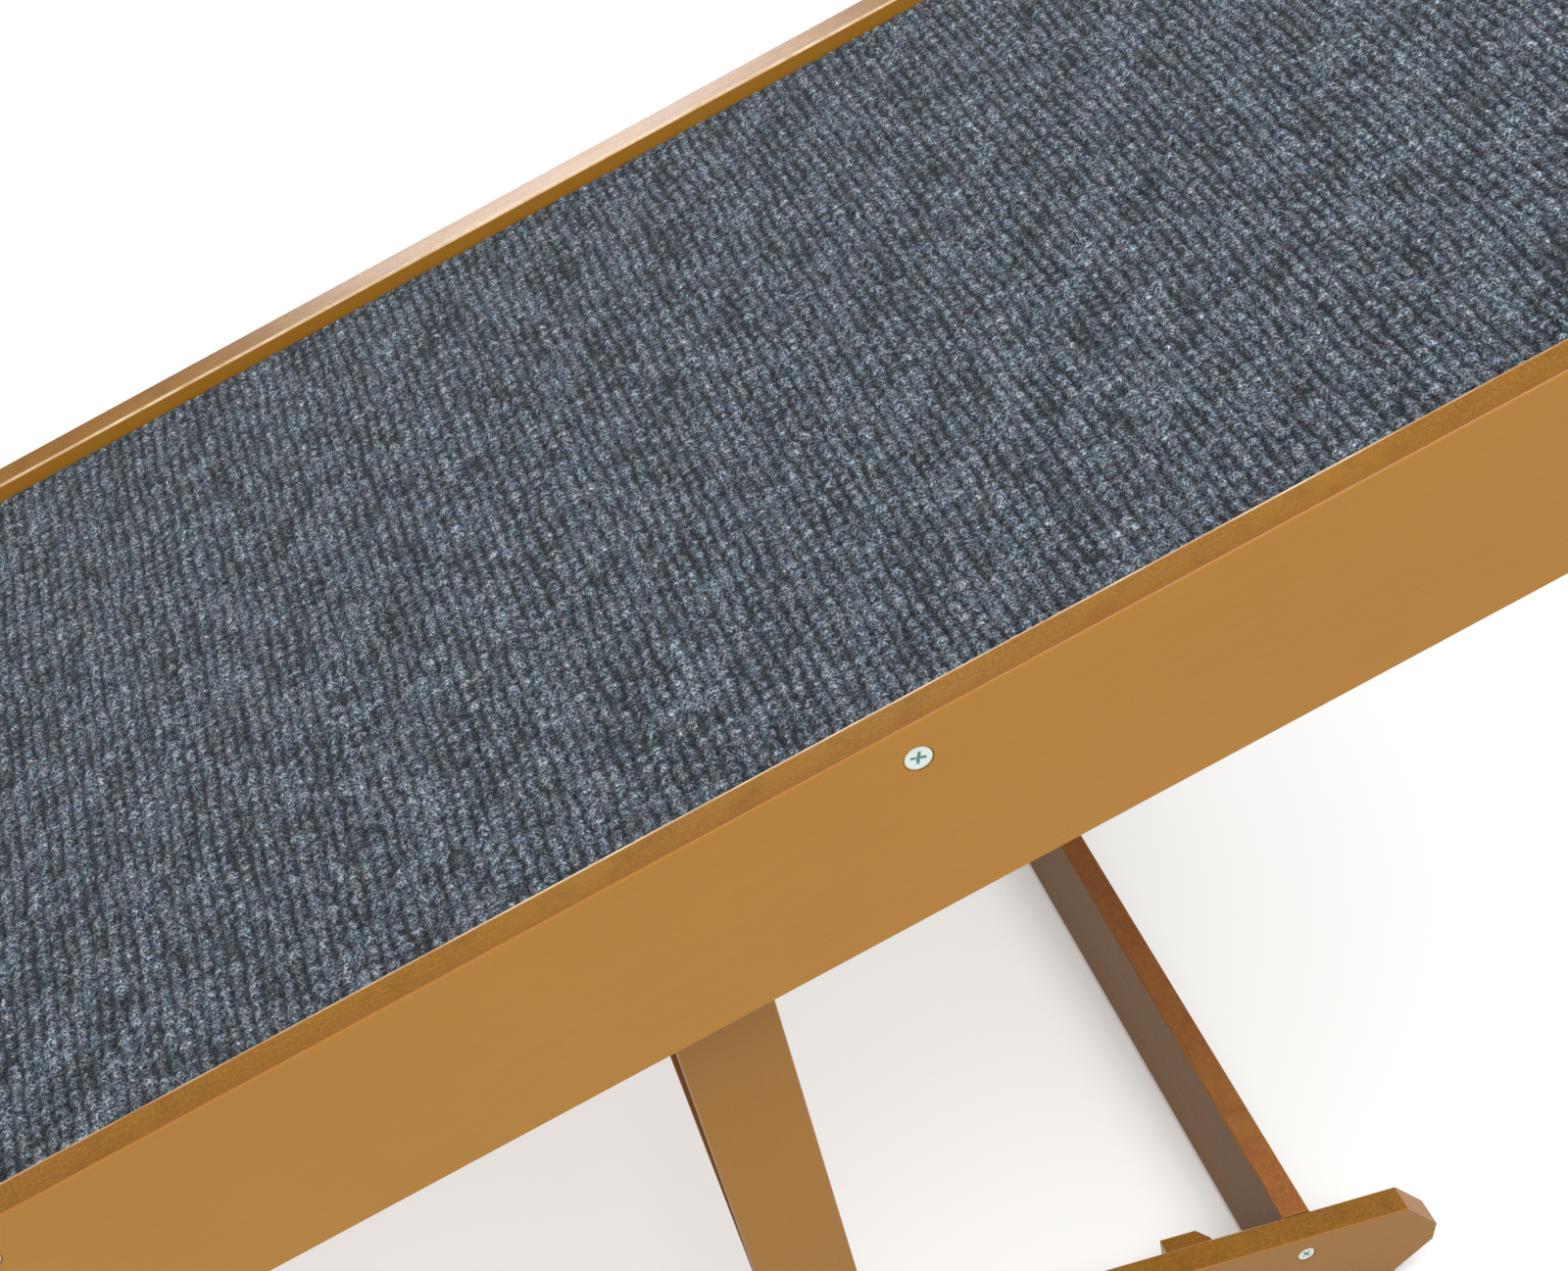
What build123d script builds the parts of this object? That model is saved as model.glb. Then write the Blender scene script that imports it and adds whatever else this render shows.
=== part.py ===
from build123d import *
import os
from math import cos, radians, sin, tan

# Dog ramp: a carpeted deck between two board rails, hinged near its low end to a base
# frame that lies on the floor, and propped by a leg frame that folds under the deck.
# Millimetres. +X runs uphill along the floor, +Y to the left of a dog walking up, +Z up.
# The model is laid out from the corner where the line of the rails' bottom edges meets
# the floor, with u along the floor and v up; s runs along the deck and n square to it.

# Driving dimensions
SLOPE = 22.0            # deck angle at rest, degrees
DECK_WIDTH = 360.0      # over the rails' outer faces
RAIL_T = 12.0           # board thickness of the rails, legs and base bars
RAIL_H = 80.0           # rail height, square to the deck
U_LOW = -130.0          # low end of the deck, cut plumb
U_TOP = 1047.0          # top end of the deck, cut plumb
X_MID = 460.0           # u of the middle of the whole length, which becomes X = 0

CARPET_DROP = 5.2       # carpet surface below the rails' top edges
CARPET_T = 4.5
PANEL_T = 9.0
CARPET_GAP = 0.5        # carpet edge to rail

BATTEN_W = 36.0
BATTEN_H = 18.0
BATTEN_S = (80.0, 370.0, 825.0, 1085.0)
BATTEN_NAMES = ("batten_low", "batten_lower_middle", "batten_upper_middle", "batten_top")
BATTEN_SCREW_Y = (-120.0, 0.0, 120.0)
END_BOARD_T = 12.0
TOP_BOARD_N = 12.0      # bottom of the top end board above the rails' bottom line

SCREW_FIRST = 205.0     # rail screws along the deck, at a steady pitch
SCREW_PITCH = 310.0
SCREW_COUNT = 4
SCREW_LOW = -65.0       # one more pair near the low end
END_SCREW_UP = 8.2      # low end board's screws above the rubber

HINGE_S = 40.0          # deck hinge
HINGE_N = 14.0
HINGE_D = 6.0
HINGE_SPACER_D = 18.0
WASHER_D = 12.0
WASHER_T = 1.6
BOLT_HEAD_D = 12.0
BOLT_HEAD_T = 3.3
BOLT_HEX_R = 2.3        # socket, centre to corner, and its depth
BOLT_HEX_DEEP = 2.2
BOLT_TIP = 9.5          # thread end inside the base bar
NUT_HEX_R = 5.77        # 10 mm over the flats
NUT_T = 4.6
NUT_COLLAR_D = 9.4
NUT_COLLAR_T = 1.4

LEG_W = 36.0
LEG_LEAN = 11.2         # from plumb, foot uphill, degrees
LEG_S = 743.0           # leg pivot along the deck
LEG_N = 42.0
LEG_OUT = 152.5         # leg outer face from the middle plane
AXLE_D = 8.0
AXLE_IN_RAIL = 8.0      # depth of the blind hole in each rail
BUSH_D = 12.0
AXLE_SPACER_D = 16.0
LEG_PAD_T = 3.0
LEG_BAR_UP = 60.0       # leg crossbar above the foot, along the leg
LEG_SCREW_ACROSS = (-9.0, 9.0)

BASE_OUT = 166.0        # base bar outer face from the middle plane
BASE_U0 = 12.0
BASE_U1 = 985.0
BASE_H = 42.0
BASE_BEVEL = 16.0
BASE_SCREW_UP = (11.0, 31.0)
FOOT_T = 3.0
FOOT_U = (45.0, 480.0, 955.0)
FOOT_LEN = 32.0
CROSSBAR_U = (60.0, 919.0)
CLEAT_W = 18.0
CLEAT_T = 14.0
CLEAT_H = 28.0
CLEAT_PITCH = 62.0
CLEAT_COUNT = 3
CLEAT_GAP = 0.6         # cleat to the leg that stands against it
CLEAT_BEVEL = 8.0
CLEAT_SCREW_V = (12.0, 24.0)

LOW_PAD_T = 2.0         # rubber under the rails' floor cuts
LOW_PAD_U = (-126.0, -16.0)
BUMPER_T = 3.0          # rubber on the top end board
BUMPER_H = 22.0
BUMPER_Y = (95.0, 145.0)
PAD_INSET = 1.0         # rubber back from the faces of the board above it

BODY_GAP = 0.3          # between faces of different moving bodies
RUN_FIT = 0.08          # radial clearance of a turning fit
SCREW_FIT = 0.05        # radial clearance round a fixed screw
EDGE_R = 0.9            # softened arrises of the boards
LONG_EDGE = 250.0       # edges longer than this are softened

# Worked out from them
HALF = DECK_WIDTH / 2
INNER = HALF - RAIL_T
COS, SIN, TAN = cos(radians(SLOPE)), sin(radians(SLOPE)), tan(radians(SLOPE))
CARPET_N = RAIL_H - CARPET_DROP
PANEL_N = CARPET_N - CARPET_T
PANEL_MID_N = PANEL_N - PANEL_T / 2
UNDER_N = PANEL_N - PANEL_T
BASE_IN = BASE_OUT - RAIL_T
LEG_IN = LEG_OUT - RAIL_T
SIDES = (("left", 1), ("right", -1))

# Countersunk wood screws: head radius, shank radius, length
RAIL_SCREW = (4.4, 2.2, 40.0)
SMALL_SCREW = (3.5, 1.75, 22.0)
FRAME_SCREW = (3.5, 1.75, 40.0)


def deck(s, n):
    """Point on the deck: s along it and n square to it, as (u, v)."""
    return (s * COS - n * SIN, s * SIN + n * COS)


def prism(points, y0, y1):
    """Solid with an outline of (u, v) points, from y0 to y1 across the ramp."""
    outline = Wire.make_polygon([Vector(u, y0, v) for u, v in points], close=True)
    return Solid.extrude(Face(outline), Vector(0, y1 - y0, 0))


def block(u0, u1, y0, y1, v0, v1):
    return prism([(u0, v0), (u1, v0), (u1, v1), (u0, v1)], min(y0, y1), max(y0, y1))


def deck_slab(u0, u1, n0, n1, y0, y1):
    """Slab parallel to the deck with plumb ends at u0 and u1."""
    low = [(u, TAN * u + n0 / COS) for u in (u0, u1)]
    high = [(u, TAN * u + n1 / COS) for u in (u1, u0)]
    return prism(low + high, y0, y1)


def deck_block(s0, s1, n0, n1, y0, y1):
    """Block square to the deck."""
    corners = [(s0, n0), (s1, n0), (s1, n1), (s0, n1)]
    return prism([deck(s, n) for s, n in corners], y0, y1)


def rod(u, v, radius, y0, y1):
    """Round bar across the ramp."""
    low, high = min(y0, y1), max(y0, y1)
    plane = Plane(origin=(u, low, v), z_dir=(0, 1, 0))
    return Solid.make_cylinder(radius, high - low, plane)


def ring(u, v, outer, inner, y0, y1):
    return rod(u, v, outer, y0, y1) - rod(u, v, inner, y0, y1)


def turned(points, plane):
    """Solid of revolution: (radius, depth) points turned about the plane's z axis."""
    outline = Wire.make_polygon([Vector(r, 0, z) for r, z in points], close=True)
    return Solid.revolve(Face(outline), 360, Axis.Z).moved(plane.location)


def screw(kind, plane, turn=0):
    """Countersunk screw with a cross recess. The plane's z axis points into the wood."""
    head, shank, length = kind
    sunk = 0.35
    rim = 0.3
    cone_end = sunk + rim + head - shank
    tip = 3 * shank
    body = turned([(0, sunk), (head, sunk), (head, sunk + rim), (shank, cone_end),
                   (shank, length - tip), (0.3, length), (0, length)], plane)
    arm = 1.15 * head
    wide = 0.26 * head
    deep = 0.36 * head
    for angle in (turn, turn + 90):
        recess = Pos(0, 0, sunk + deep / 2) * Rot(0, 0, angle) * Box(arm, wide, deep)
        body = body - plane.location * recess
    return body


def screw_hole(kind, plane, depth):
    """Countersunk hole with room round the head, to take away from the wood."""
    head, shank, _ = kind
    room = 0.45
    mouth = head + room
    hole = shank + SCREW_FIT
    return turned([(0, -1), (mouth, -1), (mouth, 0.5), (hole, 0.5 + mouth - hole),
                   (hole, depth), (0, depth)], plane)


def inward(u, v, side, y=HALF):
    """Plane on a side face, pointing to the middle."""
    return Plane(origin=(u, side * y, v), x_dir=(1, 0, 0), z_dir=(0, -side, 0))


def rail_screw_points():
    places = [SCREW_LOW] + [SCREW_FIRST + i * SCREW_PITCH for i in range(SCREW_COUNT)]
    return [deck(s, PANEL_MID_N) for s in places]


def end_board_screw_points():
    top_v = TAN * (U_TOP - END_BOARD_T / 2) + (TOP_BOARD_N + UNDER_N) / 2 / COS
    low_u = U_LOW + END_BOARD_T / 2
    return [(low_u, LOW_PAD_T + END_SCREW_UP), (U_TOP - END_BOARD_T / 2, top_v)]


def soften(board):
    """Small rounds along a board's long edges."""
    long_edges = [e for e in board.edges()
                  if e.length > LONG_EDGE and e.geom_type == GeomType.LINE]
    return board.fillet(EDGE_R, long_edges)


def rail(side):
    y0, y1 = sorted((side * INNER, side * HALF))
    floor_u = LOW_PAD_T / TAN
    outline = [(U_LOW, LOW_PAD_T), (floor_u, LOW_PAD_T), (U_TOP, TAN * U_TOP),
               (U_TOP, TAN * U_TOP + RAIL_H / COS), (U_LOW, TAN * U_LOW + RAIL_H / COS)]
    board = soften(prism(outline, y0, y1))
    for u, v in rail_screw_points() + end_board_screw_points():
        board = board - screw_hole(RAIL_SCREW, inward(u, v, side), RAIL_T + 1)
    u, v = deck(HINGE_S, HINGE_N)
    board = board - rod(u, v, HINGE_D / 2 + RUN_FIT, side * (INNER - 1), side * (HALF + 1))
    u, v = deck(LEG_S, LEG_N)
    deep = INNER + AXLE_IN_RAIL + 0.2
    return board - rod(u, v, AXLE_D / 2 + SCREW_FIT, side * (INNER - 1), side * deep)


def deck_panel():
    panel = deck_slab(U_LOW, U_TOP, UNDER_N, PANEL_N, -INNER, INNER)
    for _, side in SIDES:
        for u, v in rail_screw_points():
            panel = panel - screw_hole(RAIL_SCREW, inward(u, v, side), RAIL_SCREW[2] + 1)
    for plane in batten_screw_planes():
        panel = panel - screw_hole(SMALL_SCREW, plane, SMALL_SCREW[2] + 1)
    return panel


def carpet():
    edge = INNER - CARPET_GAP
    return deck_slab(U_LOW, U_TOP, PANEL_N, CARPET_N, -edge, edge)


def batten_planes(s):
    """Screw places under one batten, pointing up into the deck panel."""
    u, v = deck(s, UNDER_N - BATTEN_H)
    ups = (-SIN, 0, COS)
    return [Plane(origin=(u, y, v), x_dir=(0, 1, 0), z_dir=ups) for y in BATTEN_SCREW_Y]


def batten_screw_planes():
    return [plane for s in BATTEN_S for plane in batten_planes(s)]


def batten(s):
    half = BATTEN_W / 2
    board = deck_block(s - half, s + half, UNDER_N - BATTEN_H, UNDER_N, -INNER, INNER)
    board = soften(board)
    for plane in batten_planes(s):
        board = board - screw_hole(SMALL_SCREW, plane, BATTEN_H + 1)
    return board


def low_end_board():
    u0, u1 = U_LOW, U_LOW + END_BOARD_T
    outline = [(u0, LOW_PAD_T), (u1, LOW_PAD_T), (u1, TAN * u1 + UNDER_N / COS),
               (u0, TAN * u0 + UNDER_N / COS)]
    return end_board(prism(outline, -INNER, INNER))


def top_end_board():
    u0 = U_TOP - END_BOARD_T
    return end_board(deck_slab(u0, U_TOP, TOP_BOARD_N, UNDER_N, -INNER, INNER))


def end_board(board):
    for _, side in SIDES:
        for u, v in end_board_screw_points():
            board = board - screw_hole(RAIL_SCREW, inward(u, v, side), RAIL_SCREW[2] + 1)
    return board


def rail_screws(points):
    screws = []
    for _, side in SIDES:
        for i, (u, v) in enumerate(points):
            screws.append(screw(RAIL_SCREW, inward(u, v, side), 12 + 27 * i))
    return Compound(children=screws)


def top_bumper(side):
    v = end_board_screw_points()[1][1]
    y0, y1 = (side * y for y in BUMPER_Y)
    return block(U_TOP, U_TOP + BUMPER_T, y0, y1, v - BUMPER_H / 2, v + BUMPER_H / 2)


def low_pad(side):
    y0, y1 = side * (INNER + PAD_INSET), side * (HALF - PAD_INSET)
    return block(*LOW_PAD_U, y0, y1, 0, LOW_PAD_T)


def leg_axle():
    u, v = deck(LEG_S, LEG_N)
    end = INNER + AXLE_IN_RAIL
    return rod(u, v, AXLE_D / 2, -end, end)


def axle_spacer(side):
    u, v = deck(LEG_S, LEG_N)
    y0, y1 = side * (LEG_OUT + BODY_GAP), side * INNER
    return ring(u, v, AXLE_SPACER_D / 2, AXLE_D / 2 + SCREW_FIT, y0, y1)


def leg_point(along, across=0.0):
    """Point on a leg: along it down from the pivot, and across it, uphill."""
    u, v = deck(LEG_S, LEG_N)
    lean = radians(LEG_LEAN)
    return (u + along * sin(lean) + across * cos(lean), v - along * cos(lean) + across * sin(lean))


def leg_edge_u(v, across):
    """Where a leg's edge line is at height v."""
    u0, v0 = leg_point(0, across)
    return u0 + (v0 - v) * tan(radians(LEG_LEAN))


def leg_length():
    return leg_point(0)[1] / cos(radians(LEG_LEAN))


def leg_bar_along():
    return leg_length() - LEG_BAR_UP


def leg_screw_points():
    return [leg_point(leg_bar_along(), across) for across in LEG_SCREW_ACROSS]


def leg(side):
    y0, y1 = sorted((side * LEG_IN, side * LEG_OUT))
    half = LEG_W / 2
    foot = [(leg_edge_u(LEG_PAD_T, a), LEG_PAD_T) for a in (-half, half)]
    board = prism([leg_point(0, half), leg_point(0, -half)] + foot, y0, y1)
    u, v = leg_point(0)
    board = soften(board + rod(u, v, half, y0, y1))
    board = board - rod(u, v, BUSH_D / 2 + SCREW_FIT, y0 - 1, y1 + 1)
    for u, v in leg_screw_points():
        board = board - screw_hole(FRAME_SCREW, inward(u, v, side, LEG_OUT), RAIL_T + 1)
    return board


def leg_pad(side):
    half = LEG_W / 2 - PAD_INSET
    feet = [(leg_edge_u(z, a), z) for a, z in ((-half, 0), (half, 0), (half, LEG_PAD_T),
                                               (-half, LEG_PAD_T))]
    y0, y1 = sorted((side * (LEG_IN + PAD_INSET), side * (LEG_OUT - PAD_INSET)))
    return prism(feet, y0, y1)


def leg_bushing(side):
    u, v = deck(LEG_S, LEG_N)
    return ring(u, v, BUSH_D / 2, AXLE_D / 2 + RUN_FIT, side * LEG_IN, side * LEG_OUT)


def leg_crossbar():
    half_t, half_w = RAIL_T / 2, LEG_W / 2
    mid = leg_bar_along()
    corners = [(mid - half_t, -half_w), (mid + half_t, -half_w), (mid + half_t, half_w),
               (mid - half_t, half_w)]
    board = soften(prism([leg_point(a, b) for a, b in corners], -LEG_IN, LEG_IN))
    for _, side in SIDES:
        for u, v in leg_screw_points():
            hole = screw_hole(FRAME_SCREW, inward(u, v, side, LEG_OUT), FRAME_SCREW[2] + 1)
            board = board - hole
    return board


def leg_screws():
    return Compound(children=[screw(FRAME_SCREW, inward(u, v, side, LEG_OUT), 20 + 50 * i)
                              for _, side in SIDES for i, (u, v) in enumerate(leg_screw_points())])


def base_screw_points():
    return [(u + RAIL_T / 2, FOOT_T + h) for u in CROSSBAR_U for h in BASE_SCREW_UP]


def cleat_u(i):
    """Where the downhill face of a cleat starts, at the underside of the base bars."""
    return leg_edge_u(FOOT_T, LEG_W / 2) + CLEAT_GAP + i * CLEAT_PITCH


def cleat_screw_planes(i, side):
    u = cleat_u(i) + CLEAT_W / 2
    face = BASE_IN - CLEAT_T
    return [Plane(origin=(u, side * face, v), x_dir=(1, 0, 0), z_dir=(0, side, 0))
            for v in CLEAT_SCREW_V]


def base_side(side):
    y0, y1 = sorted((side * BASE_IN, side * BASE_OUT))
    low, high = FOOT_T, FOOT_T + BASE_H
    outline = [(BASE_U0, low), (BASE_U1 - BASE_BEVEL, low), (BASE_U1, low + BASE_BEVEL),
               (BASE_U1, high - BASE_BEVEL), (BASE_U1 - BASE_BEVEL, high),
               (BASE_U0 + BASE_BEVEL, high), (BASE_U0, high - BASE_BEVEL)]
    board = soften(prism(outline, y0, y1))
    for u, v in base_screw_points():
        board = board - screw_hole(FRAME_SCREW, inward(u, v, side, BASE_OUT), RAIL_T + 1)
    for i in range(CLEAT_COUNT):
        for plane in cleat_screw_planes(i, side):
            board = board - screw_hole(SMALL_SCREW, plane, SMALL_SCREW[2] + 0.5)
    u, v = deck(HINGE_S, HINGE_N)
    return board - rod(u, v, HINGE_D / 2 + SCREW_FIT, y0 - 1, y1 + 1)


def base_crossbar(u0):
    board = soften(block(u0, u0 + RAIL_T, -BASE_IN, BASE_IN, FOOT_T, FOOT_T + BASE_H))
    for _, side in SIDES:
        for u, v in base_screw_points():
            if abs(u - u0) < RAIL_T:
                plane = inward(u, v, side, BASE_OUT)
                board = board - screw_hole(FRAME_SCREW, plane, FRAME_SCREW[2] + 1)
    return board


def base_screws():
    return Compound(children=[screw(FRAME_SCREW, inward(u, v, side, BASE_OUT), 15 + 40 * i)
                              for _, side in SIDES for i, (u, v) in enumerate(base_screw_points())])


def cleat(i, side):
    low, high = FOOT_T + 1, FOOT_T + 1 + CLEAT_H
    lean = tan(radians(LEG_LEAN))
    u0 = cleat_u(i)
    outline = [(u0 - (low - FOOT_T) * lean, low), (u0 + CLEAT_W, low),
               (u0 + CLEAT_W, high - CLEAT_BEVEL), (u0 + CLEAT_W - CLEAT_BEVEL, high),
               (u0 - (high - FOOT_T) * lean, high)]
    y0, y1 = sorted((side * (BASE_IN - CLEAT_T), side * BASE_IN))
    board = prism(outline, y0, y1)
    for plane in cleat_screw_planes(i, side):
        board = board - screw_hole(SMALL_SCREW, plane, CLEAT_T + 1)
    return board


def cleat_screws():
    return Compound(children=[screw(SMALL_SCREW, plane, 30) for _, side in SIDES
                              for i in range(CLEAT_COUNT) for plane in cleat_screw_planes(i, side)])


def base_foot(u, side):
    half = FOOT_LEN / 2
    y0, y1 = side * (BASE_IN + PAD_INSET), side * (BASE_OUT - PAD_INSET)
    return block(u - half, u + half, y0, y1, 0, FOOT_T)


def hinge_bolt(side):
    """Round-headed machine bolt with a hexagon socket, from the rail's outer face inwards."""
    u, v = deck(HINGE_S, HINGE_N)
    head_in = HALF + BODY_GAP
    radius, thick = BOLT_HEAD_D / 2, BOLT_HEAD_T
    plane = inward(u, v, side, head_in + thick)
    head = turned([(0, 0), (0.6 * radius, 0), (0.9 * radius, 1.5), (radius, 2.6),
                   (radius, thick), (0, thick)], plane)
    shank = rod(u, v, HINGE_D / 2, side * (BASE_IN - BOLT_TIP), side * (head_in + 0.5))
    socket = plane * extrude(RegularPolygon(BOLT_HEX_R, 6), amount=BOLT_HEX_DEEP)
    return head + shank - socket


def hinge_nut(side):
    """Lock nut: a hexagon with a round collar on its inner end."""
    u, v = deck(HINGE_S, HINGE_N)
    start = BASE_IN - WASHER_T
    step = start - NUT_T
    end = step - NUT_COLLAR_T
    hexagon = inward(u, v, side, start) * extrude(RegularPolygon(NUT_HEX_R, 6), amount=NUT_T)
    nut = hexagon + rod(u, v, NUT_COLLAR_D / 2, side * step, side * end)
    return nut - rod(u, v, HINGE_D / 2 + SCREW_FIT, side * (end - 1), side * (start + 1))


def hinge_parts():
    """Bolts, spacers, washers and nuts, one of each at each side."""
    u, v = deck(HINGE_S, HINGE_N)
    hole = HINGE_D / 2 + SCREW_FIT
    bolts, spacers, washers, nuts = [], [], [], []
    for _, side in SIDES:
        bolts.append(hinge_bolt(side))
        between = side * BASE_OUT, side * (INNER - BODY_GAP)
        spacers.append(ring(u, v, HINGE_SPACER_D / 2, hole, *between))
        inside = side * (BASE_IN - WASHER_T), side * BASE_IN
        washers.append(ring(u, v, WASHER_D / 2, hole, *inside))
        nuts.append(hinge_nut(side))
    groups = {"hinge_bolts": bolts, "hinge_spacers": spacers,
              "hinge_washers": washers, "hinge_nuts": nuts}
    return {name: Compound(children=pieces) for name, pieces in groups.items()}


def deck_nodes():
    nodes = {"deck_panel": deck_panel(), "carpet": carpet()}
    nodes["low_end_board"] = low_end_board()
    nodes["top_end_board"] = top_end_board()
    for name, s in zip(BATTEN_NAMES, BATTEN_S):
        nodes[name] = batten(s)
    nodes["rail_screws"] = rail_screws(rail_screw_points())
    nodes["end_board_screws"] = rail_screws(end_board_screw_points())
    nodes["batten_screws"] = Compound(children=[screw(SMALL_SCREW, plane, 25)
                                                for plane in batten_screw_planes()])
    nodes["leg_axle"] = leg_axle()
    for name, side in SIDES:
        nodes["rail_" + name] = rail(side)
        nodes["top_bumper_" + name] = top_bumper(side)
        nodes["low_pad_" + name] = low_pad(side)
        nodes["axle_spacer_" + name] = axle_spacer(side)
    return nodes


def leg_nodes():
    nodes = {"leg_crossbar": leg_crossbar(), "leg_screws": leg_screws()}
    for name, side in SIDES:
        nodes["leg_" + name] = leg(side)
        nodes["leg_pad_" + name] = leg_pad(side)
        nodes["leg_bushing_" + name] = leg_bushing(side)
    return nodes


def base_nodes():
    nodes = {"base_crossbar_low": base_crossbar(CROSSBAR_U[0]),
             "base_crossbar_high": base_crossbar(CROSSBAR_U[1]),
             "base_screws": base_screws(), "cleat_screws": cleat_screws()}
    nodes.update(hinge_parts())
    for name, side in SIDES:
        nodes["base_side_" + name] = base_side(side)
        for i in range(CLEAT_COUNT):
            nodes[f"stop_cleat_{name}_{i + 1}"] = cleat(i, side)
        for i, u in enumerate(FOOT_U):
            nodes[f"base_foot_{name}_{i + 1}"] = base_foot(u, side)
    return nodes


def main():
    os.makedirs("parts", exist_ok=True)
    nodes = {**deck_nodes(), **leg_nodes(), **base_nodes()}
    for name, shape in nodes.items():
        export_step(Pos(-X_MID, 0, 0) * shape, f"parts/{name}.step")
    for name, point in (("deck hinge", deck(HINGE_S, HINGE_N)), ("leg pivot", leg_point(0))):
        print(name, "x", round(point[0] - X_MID, 3), "z", round(point[1], 3))
    print("nodes", len(nodes))


main()
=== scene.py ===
from math import cos, pi, radians, sin, tan

import bpy
import numpy as np
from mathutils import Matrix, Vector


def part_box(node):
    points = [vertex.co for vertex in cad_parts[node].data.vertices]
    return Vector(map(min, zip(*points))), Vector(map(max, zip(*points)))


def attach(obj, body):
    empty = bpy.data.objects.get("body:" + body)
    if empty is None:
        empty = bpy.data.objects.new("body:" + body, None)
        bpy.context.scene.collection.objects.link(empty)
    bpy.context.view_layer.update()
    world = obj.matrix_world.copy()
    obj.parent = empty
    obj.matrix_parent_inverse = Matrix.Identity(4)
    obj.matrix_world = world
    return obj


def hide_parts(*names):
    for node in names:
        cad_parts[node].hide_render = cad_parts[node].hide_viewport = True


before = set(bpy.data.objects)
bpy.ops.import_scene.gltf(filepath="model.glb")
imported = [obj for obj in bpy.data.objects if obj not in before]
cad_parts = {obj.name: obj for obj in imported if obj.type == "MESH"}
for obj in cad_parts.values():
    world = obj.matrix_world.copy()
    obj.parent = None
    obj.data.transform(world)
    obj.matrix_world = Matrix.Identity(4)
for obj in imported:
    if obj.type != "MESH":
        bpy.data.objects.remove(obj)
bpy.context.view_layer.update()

# Dog ramp, looks. Metres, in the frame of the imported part: +X uphill, +Y left, +Z up.
# s runs along the deck from where the rails' bottom line meets the floor, n square to it.

MM = 0.001
SLOPE = radians(22)
COS, SIN, TAN = cos(SLOPE), sin(SLOPE), tan(SLOPE)
DECK_X0 = -0.460                 # x of the corner that s and n are counted from
LEG_LEAN = radians(11.2)         # legs from plumb, foot uphill
LEG_TURN = LEG_LEAN - pi / 2     # turn that brings a leg's length onto x

RAIL_H = 80 * MM
RAIL_OUT = 180 * MM              # outer and inner faces of the rails from the middle plane
RAIL_IN = 168 * MM

CARPET_TOP = RAIL_H - 5.2 * MM
CARPET_T = 4.5 * MM
RIB_PITCH = 4.8 * MM
NUB_PITCH = 4.3 * MM
RIB_HEIGHT = 2.1 * MM
GAP_DEPTH = 1.56 * MM            # of the gaps between ribs, under the CAD carpet's top
EDGE_PILE = 0.45                 # share of the pile left at the carpet's cut edges
EDGE_FADE = 4 * MM               # distance over which it would grow by a full pile
STEP_ALONG = RIB_PITCH / 5       # mesh steps
STEP_ACROSS = 1.15 * MM


# ---------------------------------------------------------------- shader helpers

def rgb(red, green, blue):
    """Linear colour with alpha from screen values of 0 to 255."""
    def linear(value):
        share = value / 255
        return share / 12.92 if share <= 0.04045 else ((share + 0.055) / 1.055) ** 2.4
    return (linear(red), linear(green), linear(blue), 1)


def grey(value):
    return (value, value, value, 1)


def new_material(name):
    material = bpy.data.materials.new("look_" + name)
    material.use_nodes = True
    return material, material.node_tree, material.node_tree.nodes["Principled BSDF"]


def add(tree, kind, inputs=None, **settings):
    """Adds a shader node. Inputs are sockets to link or values to set."""
    made = tree.nodes.new("ShaderNode" + kind)
    for key, value in settings.items():
        setattr(made, key, value)
    for key, value in (inputs or {}).items():
        if isinstance(value, bpy.types.NodeSocket):
            tree.links.new(value, made.inputs[key])
        else:
            made.inputs[key].default_value = value
    return made


def drive(tree, shader, colour, roughness, normal):
    """Links what varies over a surface to its shader."""
    tree.links.new(colour, shader.inputs["Base Color"])
    tree.links.new(roughness, shader.inputs["Roughness"])
    tree.links.new(normal, shader.inputs["Normal"])


def maths(tree, operation, a, b=0.0):
    return add(tree, "Math", {0: a, 1: b}, operation=operation).outputs[0]


def part_of(tree, vector, axis):
    """One part of a vector: 0, 1 or 2 for x, y or z."""
    return add(tree, "SeparateXYZ", {0: vector}).outputs[axis]


def noise(tree, vector, scale, detail, rough, distortion=0.0):
    inputs = {"Vector": vector, "Scale": scale, "Detail": detail, "Roughness": rough,
              "Distortion": distortion}
    return add(tree, "TexNoise", inputs).outputs["Fac"]


def remap(tree, value, low, high, to_low=0.0, to_high=1.0):
    inputs = {"Value": value, "From Min": low, "From Max": high, "To Min": to_low,
              "To Max": to_high}
    return add(tree, "MapRange", inputs, clamp=True).outputs["Result"]


def blend(tree, share, a, b, mode="MIX"):
    inputs = {0: share, 6: a, 7: b}
    return add(tree, "Mix", inputs, data_type="RGBA", blend_type=mode).outputs[2]


def bump(tree, height, distance, strength, normal=None):
    inputs = {"Height": height, "Distance": distance, "Strength": strength}
    if normal:
        inputs["Normal"] = normal
    return add(tree, "Bump", inputs).outputs["Normal"]


def hollows(tree, distance):
    """1 in the open, towards 0 in recesses narrower than distance."""
    return add(tree, "AmbientOcclusion", {"Distance": distance}, samples=6).outputs["AO"]


def object_place(tree):
    return add(tree, "TexCoord").outputs["Object"]


def attribute(tree, name):
    return add(tree, "Attribute", attribute_name=name).outputs["Fac"]


def mapped(tree, vector, **inputs):
    """A vector through a Mapping node, with its Scale or Location set."""
    return add(tree, "Mapping", {"Vector": vector, **inputs}).outputs[0]


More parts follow.
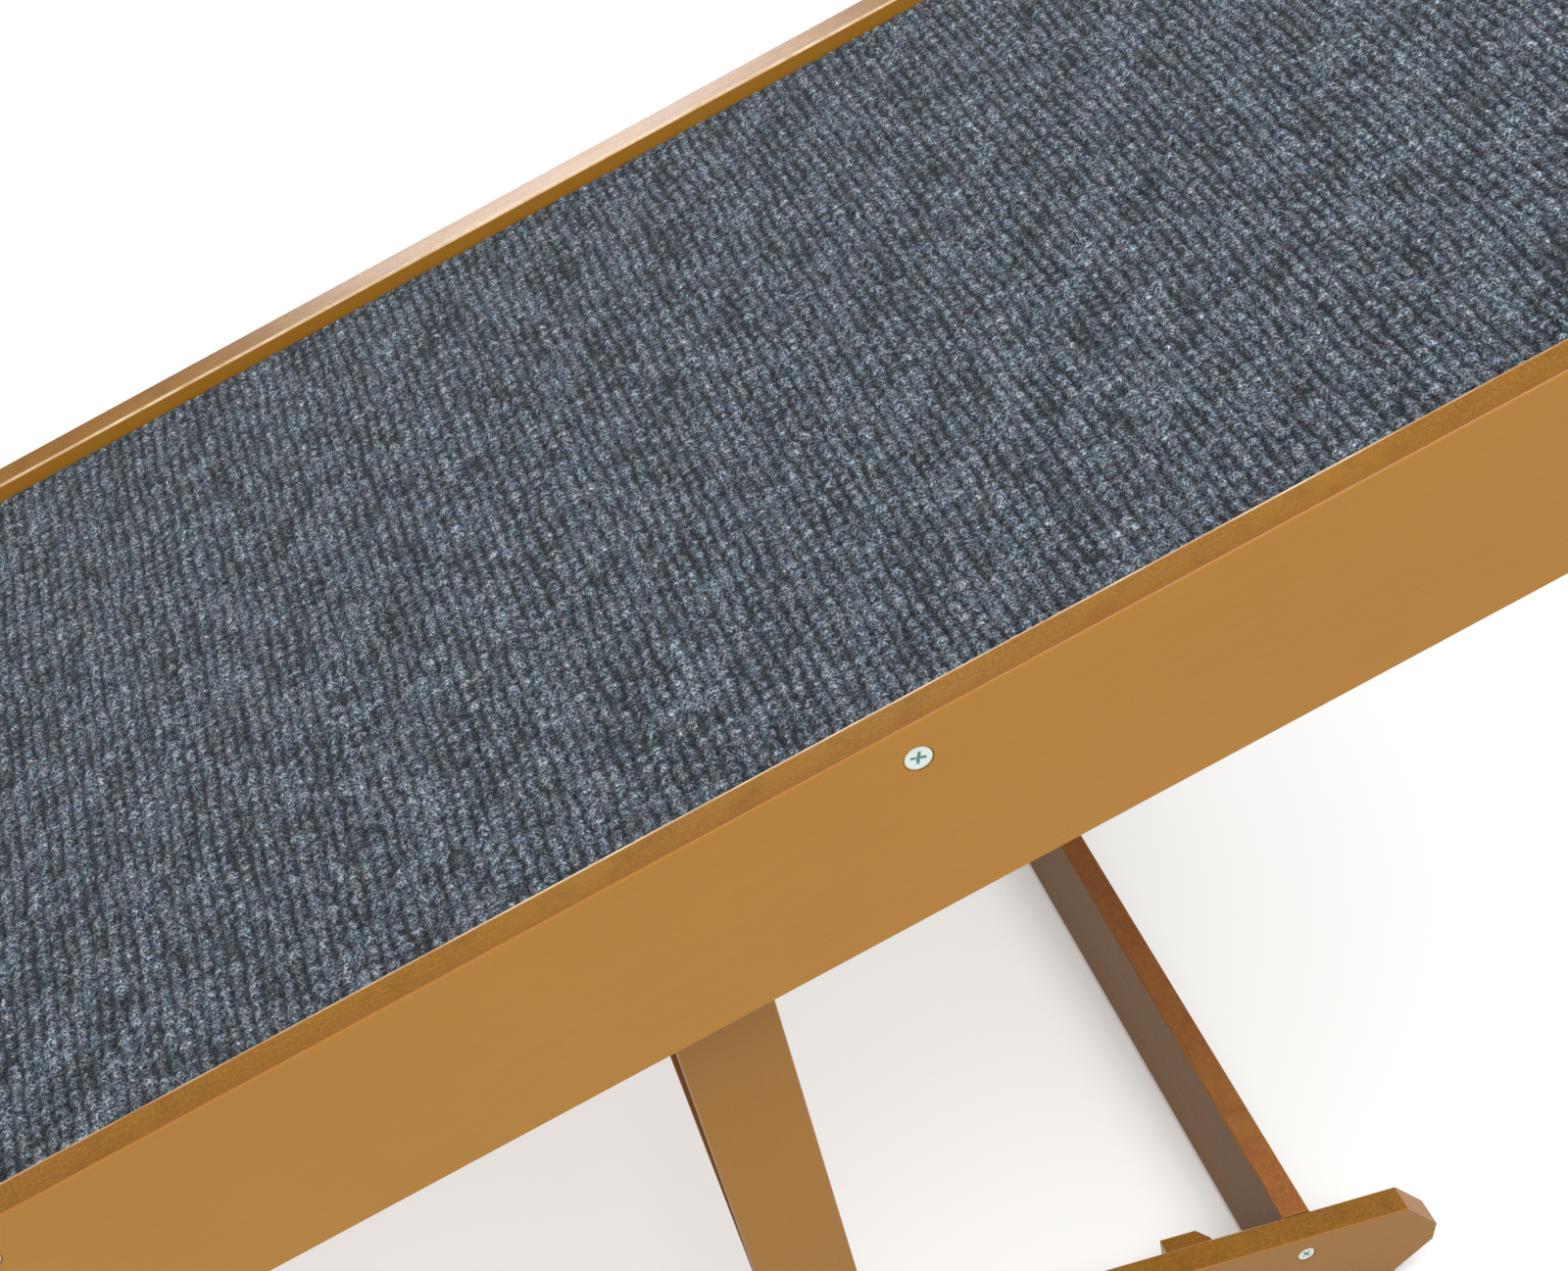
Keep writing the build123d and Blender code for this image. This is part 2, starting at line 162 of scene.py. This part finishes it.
def board_coordinates(tree, turn, stretch=(1, 1, 1)):
    """Object coordinates turned so that their x runs along a board, plain and stretched."""
    move = (-DECK_X0 * cos(turn), 0, DECK_X0 * sin(turn))
    turned = mapped(tree, object_place(tree), Rotation=(0, turn, 0), Location=move)
    return turned, mapped(tree, turned, Scale=stretch)


def board_normal(tree, turn):
    """Sizes of the surface normal's parts along, across and up from a board, and its y."""
    normal = add(tree, "TexCoord").outputs["Normal"]
    turned = add(tree, "VectorRotate", {"Vector": normal, "Angle": turn},
                 rotation_type="Y_AXIS").outputs[0]
    size = add(tree, "VectorMath", {0: turned}, operation="ABSOLUTE").outputs[0]
    return (*add(tree, "SeparateXYZ", {0: size}).outputs, part_of(tree, turned, 1))


# ---------------------------------------------------------------- painted wood

PAINT = rgb(173, 120, 38)
PAINT_2 = rgb(169, 116, 36)
EDGE_YELLOW = rgb(160, 114, 36)
EDGE_RED = rgb(142, 89, 32)
EDGE_DARK = rgb(112, 70, 26)
# Paler paint on the arrises: partly wear, partly painted highlight.
PAINT_WEAR_AND_HIGHLIGHT = rgb(170, 114, 60)
# Near-white painted highlight on the inner arrises and along the rails' inner top edge.
PAINTED_HIGHLIGHT = rgb(232, 208, 176)

GRAIN_ALONG = (4, 60, 60)        # stretch of the noise that makes the grain
GRAIN_ACROSS = (60, 4, 60)
BATTEN_GRAIN = (40, 5, 60)
HIGHLIGHT_LINE = (1 * MM, 1.6 * MM)         # painted highlight line on the rails' inner top edge: full, then fading


def even_paint(tree, place, grain, tone):
    """Paint on a board's faces, almost even, with a faint grain."""
    cloud = noise(tree, place, scale=9, detail=3, rough=0.55)
    paint = blend(tree, remap(tree, cloud, 0.3, 0.7), PAINT, PAINT_2)
    paint = blend(tree, remap(tree, grain, 0.35, 0.75, 0, 0.07), paint, EDGE_RED)
    return blend(tree, 1.0, paint, tone, "MULTIPLY")


def soaked_paint(tree, speckle, drift, blotch, from_middle, tone):
    """Mottled paint on a board's top and bottom edges, redder near the rails' outer faces."""
    paint = blend(tree, remap(tree, speckle, 0.36, 0.64), EDGE_RED, EDGE_YELLOW)
    paint = blend(tree, remap(tree, drift, 0.4, 0.65, 0, 0.6), paint, EDGE_YELLOW)
    paint = blend(tree, remap(tree, blotch, 0.5, 0.75, 0, 0.4), paint, EDGE_DARK)
    outward = remap(tree, from_middle, RAIL_IN + 4 * MM, RAIL_OUT, 0, 0.5)
    paint = blend(tree, outward, paint, EDGE_RED)
    return blend(tree, 1.0, paint, tone, "MULTIPLY")


def inner_side(tree, place, normal_y):
    """1 on the half of an arris that faces the middle of the ramp."""
    side = maths(tree, "SIGN", part_of(tree, place, 1))
    return maths(tree, "LESS_THAN", maths(tree, "MULTIPLY", side, normal_y), 0.0)


def painted_wood(name, turn, face_tone, edge_tone, rough=0.26, stretch=GRAIN_ALONG, shine=0.25):
    """Satin ochre paint: even on the faces, mottled where it soaked into the board's edges,
    thinner and paler on the arrises, partly worn and partly painted highlight, most of all on
    the inner one, which carries a near-white painted highlight, as does the rails' inner top
    edge."""
    material, tree, shader = new_material(name)
    place, grain_place = board_coordinates(tree, turn, stretch)
    along, across, up, across_signed = board_normal(tree, turn)
    edge_face = remap(tree, up, 0.8, 0.95)
    largest = maths(tree, "MAXIMUM", maths(tree, "MAXIMUM", along, across), up)
    arris = remap(tree, largest, 0.84, 0.985, 1, 0)
    from_middle = maths(tree, "ABSOLUTE", part_of(tree, place, 1))
    from_inner_face = maths(tree, "ABSOLUTE", maths(tree, "SUBTRACT", from_middle, RAIL_IN))
    rim = maths(tree, "MULTIPLY", edge_face, remap(tree, from_inner_face, *HIGHLIGHT_LINE, 1, 0))

    grain = noise(tree, grain_place, scale=5, detail=5, rough=0.6, distortion=0.4)
    speckle = noise(tree, place, scale=900, detail=2, rough=0.7)
    blotch = noise(tree, place, scale=95, detail=3, rough=0.6)
    drift = noise(tree, place, scale=21, detail=2, rough=0.5)
    peel = noise(tree, place, scale=900, detail=2, rough=0.5)

    face = even_paint(tree, place, grain, face_tone)
    soaked = soaked_paint(tree, speckle, drift, blotch, from_middle, edge_tone)
    colour = blend(tree, edge_face, face, soaked)
    # Painted highlight: near-white paint on the inner arrises and along the rails' inner top
    # edge.
    arris_highlight = maths(tree, "MULTIPLY", inner_side(tree, place, across_signed),
                         remap(tree, drift, 0.3, 0.6, 0.35, 1))
    rim_highlight = maths(tree, "MULTIPLY", rim, remap(tree, drift, 0.3, 0.6))
    highlight_share = maths(tree, "MAXIMUM", arris_highlight, rim_highlight)
    # Paler paint on every arris, partly wear and partly painted highlight, varied at random.
    wear_and_highlight = maths(tree, "MULTIPLY", maths(tree, "MAXIMUM", arris, rim),
                 remap(tree, blotch, 0.3, 0.6, 0.45, 1))
    colour = blend(tree, wear_and_highlight, colour, blend(tree, highlight_share, PAINT_WEAR_AND_HIGHLIGHT, PAINTED_HIGHLIGHT))

    gloss = remap(tree, grain, 0.3, 0.7, rough - 0.03, rough + 0.04)
    gloss = maths(tree, "ADD", gloss, maths(tree, "MULTIPLY", arris, 0.12))
    relief = maths(tree, "ADD", maths(tree, "MULTIPLY", peel, 0.2), grain)
    pores = maths(tree, "MULTIPLY", speckle, edge_face)
    normal = bump(tree, pores, 0.07 * MM, 0.5, bump(tree, relief, 0.04 * MM, 0.4))
    drive(tree, shader, colour, gloss, normal)
    shader.inputs["Specular IOR Level"].default_value = shine
    return material


# ---------------------------------------------------------------- other materials

PLY_PAIR = 3 * MM                # one light and one dark ply


def plywood():
    """Birch plywood: faint long grain on the faces, thin dark and light plies on the edges."""
    material, tree, shader = new_material("plywood")
    place, grain_place = board_coordinates(tree, SLOPE, (3, 45, 45))
    _, _, up, _ = board_normal(tree, SLOPE)
    rings = noise(tree, grain_place, scale=4, detail=6, rough=0.62, distortion=1.2)
    pores = noise(tree, mapped(tree, place, Scale=(1, 14, 14)), scale=90, detail=2, rough=0.5)
    face = blend(tree, remap(tree, rings, 0.35, 0.68), rgb(205, 170, 122), rgb(178, 137, 90))
    face = blend(tree, remap(tree, pores, 0.58, 0.75, 0, 0.5), face, rgb(140, 102, 64))
    height = maths(tree, "MULTIPLY", part_of(tree, place, 2), 1 / PLY_PAIR)
    ply = remap(tree, maths(tree, "FRACT", height), 0.46, 0.54)
    edge = blend(tree, ply, rgb(196, 158, 112), rgb(140, 100, 62))
    colour = blend(tree, remap(tree, up, 0.5, 0.7), edge, face)
    gloss = remap(tree, rings, 0.3, 0.7, 0.55, 0.7)
    drive(tree, shader, colour, gloss, bump(tree, rings, 0.2 * MM, 0.5))
    return material


def zinc_screw():
    """Pale bright-zinc screw heads, with painted shade in the cross recess in a cool grey."""
    material, tree, shader = new_material("zinc_screw")
    # Painted shade: ambient occlusion picks out the cross recess and gives it a darker cool
    # grey.
    open_share = remap(tree, hollows(tree, 3 * MM), 0.45, 0.95)
    speck = noise(tree, object_place(tree), scale=1500, detail=3, rough=0.6)
    pale = blend(tree, speck, rgb(226, 234, 228), rgb(206, 218, 213))
    colour = blend(tree, open_share, rgb(166, 204, 204), pale)
    gloss = remap(tree, speck, 0.3, 0.7, 0.3, 0.45)
    drive(tree, shader, colour, gloss, bump(tree, speck, 0.04 * MM, 0.4))
    shader.inputs["Metallic"].default_value = 0.2
    return material


def steel_hardware():
    """Brushed plated steel."""
    material, tree, shader = new_material("steel_hardware")
    place = object_place(tree)
    brushed = mapped(tree, place, Scale=(1, 0.05, 1))
    lines = noise(tree, brushed, scale=2600, detail=3, rough=0.6)
    stain = noise(tree, place, scale=240, detail=3, rough=0.6)
    colour = blend(tree, stain, rgb(198, 200, 200), rgb(164, 166, 166))
    gloss = remap(tree, lines, 0.3, 0.7, 0.22, 0.42)
    drive(tree, shader, colour, gloss, bump(tree, lines, 0.03 * MM, 0.4))
    shader.inputs["Metallic"].default_value = 1.0
    return material


def moulded(name, dark, light, rough, grain, depth):
    """Moulded nylon or rubber with a fine grain."""
    material, tree, shader = new_material(name)
    place = object_place(tree)
    fine = noise(tree, place, scale=grain, detail=3, rough=0.6)
    cloud = noise(tree, place, scale=60, detail=2, rough=0.5)
    gloss = remap(tree, fine, 0.3, 0.7, rough - 0.06, rough + 0.06)
    drive(tree, shader, blend(tree, cloud, dark, light), gloss, bump(tree, fine, depth, 0.5))
    return material


def curls(tree, place, scale, width):
    """Thin curly lines, bright where a noise field crosses its middle value."""
    field = noise(tree, place, scale, detail=1.5, rough=0.5, distortion=0.9)
    off = maths(tree, "ABSOLUTE", maths(tree, "SUBTRACT", field, 0.5))
    return remap(tree, off, 0.0, width, 1, 0)


def ribbed_carpet():
    """Heathered needle felt: pale curly fibres over a dark ground, with painted shade that
    makes it darkest between ribs.
    """
    material, tree, shader = new_material("ribbed_carpet")
    place, _ = board_coordinates(tree, SLOPE)
    apart = mapped(tree, place, Location=(3, 5, 7))
    loops = curls(tree, place, scale=480, width=0.05)
    small_loops = curls(tree, apart, scale=760, width=0.07)
    flecks = noise(tree, place, scale=1150, detail=1, rough=0.5)
    tint = noise(tree, apart, scale=330, detail=1, rough=0.5)
    fibre = maths(tree, "MAXIMUM", loops, maths(tree, "MULTIPLY", small_loops, 0.85))
    fibre = maths(tree, "MULTIPLY", fibre, remap(tree, flecks, 0.36, 0.62, 0.1, 1))

    # Painted shade: ground and fibres darken with the pile's height, deepest between the ribs;
    # the fibres' random tone is added in.
    toned = maths(tree, "MULTIPLY", maths(tree, "SUBTRACT", attribute(tree, "tone"), 0.4), 0.7)
    height_shade_and_tone = maths(tree, "ADD", attribute(tree, "pile"), toned)
    ground = blend(tree, remap(tree, height_shade_and_tone, 0.12, 0.93), rgb(22, 28, 34), rgb(66, 79, 92))
    ground = blend(tree, remap(tree, flecks, 0.38, 0.62, 0.62, 0), ground, rgb(20, 24, 28))
    pale = blend(tree, remap(tree, tint, 0.38, 0.62), rgb(210, 233, 252), rgb(230, 237, 243))
    light = maths(tree, "MULTIPLY", fibre, remap(tree, height_shade_and_tone, 0.13, 0.84, 0.08, 1))
    tree.links.new(blend(tree, light, ground, pale), shader.inputs["Base Color"])
    tree.links.new(bump(tree, fibre, 0.4 * MM, 0.8), shader.inputs["Normal"])
    shader.inputs["Roughness"].default_value = 0.95
    shader.inputs["Specular IOR Level"].default_value = 0.1
    shader.inputs["Sheen Weight"].default_value = 0.15
    shader.inputs["Sheen Roughness"].default_value = 0.5
    shader.inputs["Sheen Tint"].default_value = (0.86, 0.94, 1, 1)
    return material


PAINTED = {
    "painted_rail": {"turn": SLOPE, "face_tone": grey(1), "edge_tone": grey(0.89)},
    "painted_batten": {"turn": SLOPE, "face_tone": grey(0.85), "edge_tone": grey(0.85),
                       "rough": 0.35, "stretch": BATTEN_GRAIN},
    # The legs' darker face tones are painted shade from the rail above them.
    "painted_leg": {"turn": LEG_TURN, "face_tone": grey(0.82), "edge_tone": grey(0.85)},
    "painted_leg_bar": {"turn": LEG_TURN, "face_tone": grey(0.75), "edge_tone": grey(0.85),
                        "stretch": GRAIN_ACROSS},
    "painted_base": {"turn": 0, "face_tone": grey(0.74), "edge_tone": grey(0.88)},
    # The crossbars' dark face tone is partly a darker paint and partly painted shade under the
    # deck.
    "painted_crossbar": {"turn": 0, "face_tone": grey(0.47), "edge_tone": (1.08, 0.96, 2.3, 1),
                         "stretch": GRAIN_ACROSS, "shine": 0.12},
}
MOULDED = {
    "nylon": {"dark": rgb(226, 224, 214), "light": rgb(240, 238, 230), "rough": 0.4,
              "grain": 900, "depth": 0.03 * MM},
    "rubber": {"dark": rgb(34, 34, 35), "light": rgb(52, 52, 54), "rough": 0.75,
               "grain": 1400, "depth": 0.08 * MM},
}
BARS_ACROSS = {"leg_crossbar": "painted_leg_bar", "base_crossbar_low": "painted_crossbar",
               "base_crossbar_high": "painted_crossbar"}


def make_finishes():
    """Materials by the names of the CAD slots and of the bars' own finishes."""
    made = {name: painted_wood(name, **look) for name, look in PAINTED.items()}
    for name, look in MOULDED.items():
        made[name] = moulded(name, **look)
    for make in (plywood, zinc_screw, steel_hardware, ribbed_carpet):
        made[make.__name__] = make()
    return made


def finish_cad_nodes(finishes):
    """Gives each CAD node its slot's finish, or, for a bar across the ramp, the bar's own."""
    for name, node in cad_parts.items():
        for holder in node.material_slots:
            slot = holder.material.name.split(".")[0]
            holder.material = finishes[BARS_ACROSS.get(name, slot)]


# ---------------------------------------------------------------- carpet

WAVES = 14                       # sine waves in one smooth field

# Smooth fields that make the pile uneven, each as its amount and the size of its waves.
RIB_WANDER = ((0.10, 70 * MM), (0.085, 16 * MM), (0.05, 7 * MM))
NUB_WANDER = ((0.16, 14 * MM),)
FLATTENED = ((0.5, 17 * MM),)
FUZZ = ((0.06, 2.6 * MM),)
TONE_CLOUDS = ((0.07, 34 * MM), (0.06, 11 * MM), (0.12, 3.4 * MM))


def smooth_field(rng, s, y, size):
    """Sum of sine waves of about one size in all directions, near -1 to 1."""
    total = np.zeros_like(s)
    for _ in range(WAVES):
        angle = rng.uniform(0, 2 * pi)
        wave = 2 * pi / (size * rng.uniform(0.7, 1.5))
        total += np.sin(wave * (s * cos(angle) + y * sin(angle)) + rng.uniform(0, 2 * pi))
    return total / (0.8 * WAVES ** 0.5)


def layered(rng, s, y, fields):
    return sum(amount * smooth_field(rng, s, y, size) for amount, size in fields)


def carpet_relief(s, y):
    """Height of the pile from 0 in the gaps to 1 on the nubs, and the tone of its fibres."""
    rng = np.random.default_rng(7)
    rib_place = s / RIB_PITCH + layered(rng, s, y, RIB_WANDER)
    rib = np.floor(rib_place).astype(int)
    rib_share = rib_place - rib
    ribs = rib.max() - rib.min() + 1
    rib -= rib.min()
    start = rng.uniform(0, 1, ribs)
    nub_place = (y - y.min()) / NUB_PITCH + start[rib] + layered(rng, s, y, NUB_WANDER)
    nub_place -= nub_place.min()
    nub = np.floor(nub_place).astype(int)
    nub_share = nub_place - nub
    size = rng.uniform(0.4, 1, (ribs, nub.max() + 1))
    skew = rng.uniform(0.7, 1.45, size.shape)
    heather = rng.uniform(-1, 1, size.shape)

    ridge = np.sin(pi * rib_share) ** 0.95
    bead = np.sin(pi * nub_share ** skew[rib, nub]) ** 1.2
    flat = np.clip(0.4 + layered(rng, s, y, FLATTENED), 0, 1)
    height = ridge * (0.34 + 0.66 * size[rib, nub] * bead)
    height = height * (1 - 0.2 * flat) + 0.1 * flat + layered(rng, s, y, FUZZ)
    tone = 0.42 + 0.35 * heather[rib, nub] * bead + layered(rng, s, y, TONE_CLOUDS)
    return np.clip(height, 0, 1), np.clip(tone, 0, 1)


def deck_points(s, y, n):
    """Points from deck coordinates, as rows of x, y, z."""
    points = np.stack([DECK_X0 + s * COS - n * SIN, y, s * SIN + n * COS], axis=-1)
    return points.reshape(-1, 3)


def carpet_faces(rows, columns):
    """Faces of the closed carpet. The top's points come first, row by row, and then the
    right and left bottom point of each row."""
    index = np.arange(rows * columns).reshape(rows, columns)
    first = rows * columns
    faces = np.stack([index[:-1, :-1], index[1:, :-1], index[1:, 1:], index[:-1, 1:]], axis=-1)
    faces = faces.reshape(-1, 4).tolist()
    for i in range(rows - 1):
        right, left = first + 2 * i, first + 2 * i + 1
        faces.append((right, left, left + 2, right + 2))
        faces.append((int(index[i, 0]), right, right + 2, int(index[i + 1, 0])))
        faces.append((left, int(index[i, -1]), int(index[i + 1, -1]), left + 2))
    faces.append(tuple(index[0].tolist()) + (first + 1, first))
    faces.append(tuple(index[-1][::-1].tolist()) + (first + 2 * rows - 2, first + 2 * rows - 1))
    return faces


def make_carpet():
    """The carpet with its pile, in the CAD carpet's place, and its flat width and length."""
    low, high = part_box("carpet")
    bottom = CARPET_TOP - CARPET_T
    s0 = (low.x - DECK_X0 + CARPET_TOP * SIN) / COS
    s1 = (high.x - DECK_X0 + CARPET_TOP * SIN) / COS
    rows = round((s1 - s0) / STEP_ALONG) + 1
    columns = round((high.y - low.y) / STEP_ACROSS) + 1
    s, y = np.meshgrid(np.linspace(s0, s1, rows), np.linspace(low.y, high.y, columns),
                       indexing="ij")
    pile, tone = carpet_relief(s, y)
    from_edge = np.minimum(np.minimum(y - low.y, high.y - y), np.minimum(s - s0, s1 - s))
    pile *= np.clip(EDGE_PILE + from_edge / EDGE_FADE, 0, 1)
    top = deck_points(s, y, CARPET_TOP - GAP_DEPTH + pile * RIB_HEIGHT)
    under_s = s[:, [0, -1]] + (bottom - CARPET_TOP) * TAN
    under = deck_points(under_s, y[:, [0, -1]], np.full(under_s.shape, bottom))

    mesh = bpy.data.meshes.new("carpet_pile")
    mesh.from_pydata(np.concatenate([top, under]).tolist(), [], carpet_faces(rows, columns))
    mesh.polygons.foreach_set("use_smooth", np.ones(len(mesh.polygons), bool))
    for name, values in (("pile", pile), ("tone", tone)):
        holder = mesh.attributes.new(name, "FLOAT", "POINT")
        full = np.zeros(len(mesh.vertices), np.float32)
        full[:values.size] = values.ravel()
        holder.data.foreach_set("value", full)
    carpet = bpy.data.objects.new("carpet_pile", mesh)
    bpy.context.scene.collection.objects.link(carpet)
    return carpet, (high.y - low.y, s1 - s0)


def dress_carpet(material):
    carpet, flat = make_carpet()
    carpet.data.materials.append(material)
    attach(carpet, "deck")
    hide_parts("carpet")


# ---------------------------------------------------------------- camera, floor and light

CAMERA_PLACE = (0.0794, -0.6603, 0.8475)
CAMERA_DOWN = radians(39.692)
CAMERA_YAW = radians(-18.378)
CAMERA_LENS = 55.66
CAMERA_SENSOR = 36

WORLD_COLOUR = (1, 0.995, 0.985, 1)
WORLD_STRENGTH = 0.5
LIGHT_TARGET = (0.1, 0, 0.3)

FLOOR_HALF = 40
FLOOR_COLOUR = (0.42, 0.43, 0.44, 1)
FLOOR_GLOW = (1, 0.992, 0.968, 1)
FLOOR_SHADE_REACH = 45 * MM      # of the soft shade round whatever stands on the floor


def make_camera():
    data = bpy.data.cameras.new("camera")
    data.lens = CAMERA_LENS
    data.sensor_width = CAMERA_SENSOR
    camera = bpy.data.objects.new("camera", data)
    camera.location = CAMERA_PLACE
    camera.rotation_euler = (pi / 2 - CAMERA_DOWN, 0, CAMERA_YAW)
    bpy.context.scene.collection.objects.link(camera)
    bpy.context.scene.camera = camera


def area_light(name, place, size, power, only_gloss=False):
    """Round light aimed at the ramp, which may show in reflections only."""
    data = bpy.data.lights.new(name, "AREA")
    data.shape = "DISK"
    data.size = size
    data.energy = power
    light = bpy.data.objects.new(name, data)
    light.location = place
    light.visible_diffuse = not only_gloss
    aim = bpy.data.objects.new(name + "_aim", None)
    aim.location = LIGHT_TARGET
    bpy.context.scene.collection.objects.link(aim)
    bpy.context.scene.collection.objects.link(light)
    track = light.constraints.new("TRACK_TO")
    track.target = aim
    track.track_axis = "TRACK_NEGATIVE_Z"
    track.up_axis = "UP_Y"


def make_world():
    world = bpy.data.worlds.new("studio")
    world.use_nodes = True
    background = world.node_tree.nodes["Background"]
    background.inputs["Color"].default_value = WORLD_COLOUR
    background.inputs["Strength"].default_value = WORLD_STRENGTH
    bpy.context.scene.world = world


def make_floor():
    """Pale floor that glows a little, less so close to what stands on it, which paints a soft
    contact shadow.
    """
    half = FLOOR_HALF
    mesh = bpy.data.meshes.new("floor")
    corners = [(-half, -half, 0), (half, -half, 0), (half, half, 0), (-half, half, 0)]
    mesh.from_pydata(corners, [], [(0, 1, 2, 3)])
    floor = bpy.data.objects.new("floor", mesh)
    bpy.context.scene.collection.objects.link(floor)
    material, tree, shader = new_material("floor_paint")
    shader.inputs["Base Color"].default_value = FLOOR_COLOUR
    shader.inputs["Roughness"].default_value = 0.9
    shader.inputs["Emission Color"].default_value = FLOOR_GLOW
    # Painted contact shadow: the glow dims near whatever stands on the floor.
    glow = remap(tree, hollows(tree, FLOOR_SHADE_REACH), 0.25, 0.82, 0.2, 0.62)
    tree.links.new(glow, shader.inputs["Emission Strength"])
    mesh.materials.append(material)


# ---------------------------------------------------------------- make everything

bpy.context.scene.view_settings.view_transform = "Standard"
make_camera()
make_world()
make_floor()
area_light("overhead", place=(0.35, -0.9, 2.6), size=2.0, power=60)
area_light("back_window", place=(-0.22, 2.8, 1.6), size=1.0, power=33, only_gloss=True)

finishes = make_finishes()
finish_cad_nodes(finishes)
dress_carpet(finishes["ribbed_carpet"])
